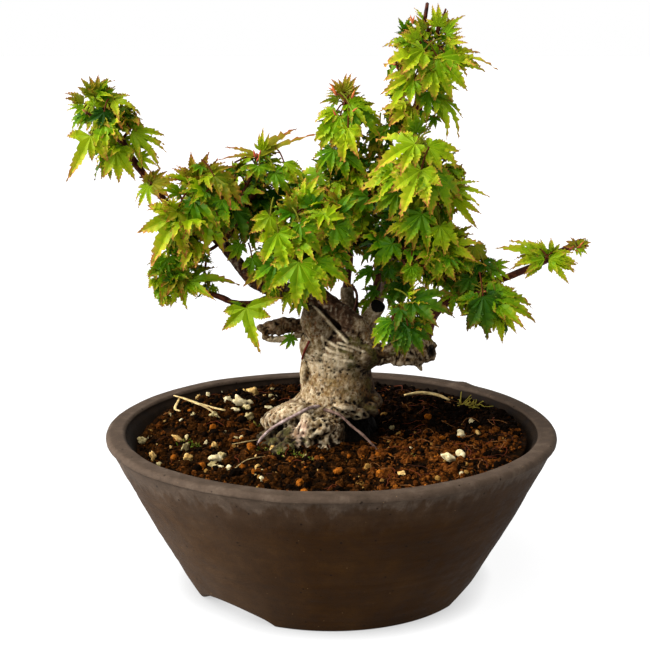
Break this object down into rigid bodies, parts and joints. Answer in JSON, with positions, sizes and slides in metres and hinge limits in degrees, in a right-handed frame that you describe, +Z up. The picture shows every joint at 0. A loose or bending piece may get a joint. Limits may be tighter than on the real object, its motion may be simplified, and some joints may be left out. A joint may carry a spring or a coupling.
{
  "type": "potted maple bonsai",
  "caption": "Small maple bonsai with a thick flared trunk, spreading limbs and leaf clusters, in a round conical unglazed clay pot",
  "frame": {"origin": "on the floor under the middle of the round pot, which is the middle of the bounding box in plan to within 1 mm", "axes": "+Z up; -Y is the tree's front, the side shown to a viewer; +X is to the viewer's right"},
  "size_m": [0.162, 0.14, 0.1791],
  "materials": {
    "pot_clay": "matte",
    "soil": "matte",
    "bark": "matte",
    "twig_bark": "satin",
    "leaf": "satin"
  },
  "bodies": {
    "root": {"bough_back_left": "twig_bark", "bough_back_right": "twig_bark", "bough_cut": "bark", "bough_left": "bark", "bough_right": "twig_bark", "bough_right_end": "twig_bark", "bough_right_outer": "twig_bark", "foliage_back_left": "leaf", "foliage_back_low_left": "leaf", "foliage_back_low_right": "leaf", "foliage_back_middle": "leaf", "foliage_back_right": "leaf", "foliage_left": "leaf", "foliage_left_inner": "leaf", "foliage_left_leaf": "leaf", "foliage_left_low": "leaf", "foliage_left_node": "leaf", "foliage_left_top": "leaf", "foliage_middle": "leaf", "foliage_middle_front": "leaf", "foliage_middle_low": "leaf", "foliage_right_bud": "leaf", "foliage_right_front": "leaf", "foliage_right_inner": "leaf", "foliage_right_low": "leaf", "foliage_right_low_inner": "leaf", "foliage_right_lower": "leaf", "foliage_right_middle": "leaf", "foliage_right_tip": "leaf", "foliage_spire": "leaf", "foliage_top": "leaf", "foliage_top_lower": "leaf", "foliage_upper_left": "leaf", "leader_lower": "twig_bark", "leader_upper": "twig_bark", "pot": "pot_clay", "shoot_left": "twig_bark", "snag_top": "twig_bark", "soil": "soil", "stub_left": "bark", "stub_middle": "bark", "stub_right": "bark", "trunk": "bark", "twig_left_leaf": "twig_bark", "twig_left_low": "twig_bark", "twig_right_front": "twig_bark", "twig_right_low": "twig_bark"}
  },
  "joints": []
}
